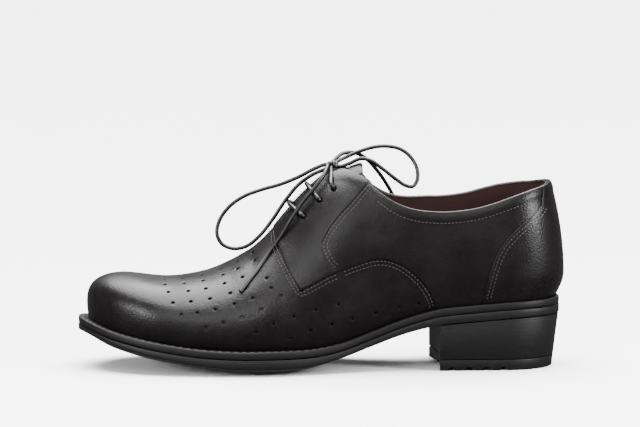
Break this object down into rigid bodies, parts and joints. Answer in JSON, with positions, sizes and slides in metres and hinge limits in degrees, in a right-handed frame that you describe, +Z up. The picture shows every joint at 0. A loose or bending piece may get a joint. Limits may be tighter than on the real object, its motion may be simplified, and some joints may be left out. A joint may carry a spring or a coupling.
{
  "type": "leather shoe",
  "caption": "Black leather lace-up derby shoe with a block heel, rounded toe, open throat over a tongue, round cord bow and hollow interior; left foot.",
  "frame": {"origin": "on the floor, under the middle of the shoe's length and width measured without the knot, bow and lace ends", "axes": "+Z up, -X towards the toe, +X towards the heel, -Y towards the outer (lateral) side, +Y towards the inner (medial) side"},
  "size_m": [0.2626, 0.0966, 0.1192],
  "materials": {
    "upper_leather": "smooth black calf-like leather with a fine grain and a soft polish",
    "lining_leather": "matt dark brown lining leather",
    "sole_rubber": "satin black rubber",
    "lace_cord": "round braided waxed cord, black"
  },
  "bodies": {
    "root": {"outsole": "sole_rubber", "welt": "sole_rubber", "heel": "sole_rubber", "top_piece": "sole_rubber", "insole": "lining_leather", "upper": "upper_leather", "tongue": "upper_leather", "lace_bar_1": "lace_cord", "lace_bar_2": "lace_cord", "lace_knot": "lace_cord", "lace_strand_lateral": "lace_cord", "lace_strand_medial": "lace_cord", "lace_loop_front": "lace_cord", "lace_loop_back": "lace_cord", "lace_end_front": "lace_cord", "lace_end_back": "lace_cord"}
  },
  "joints": []
}
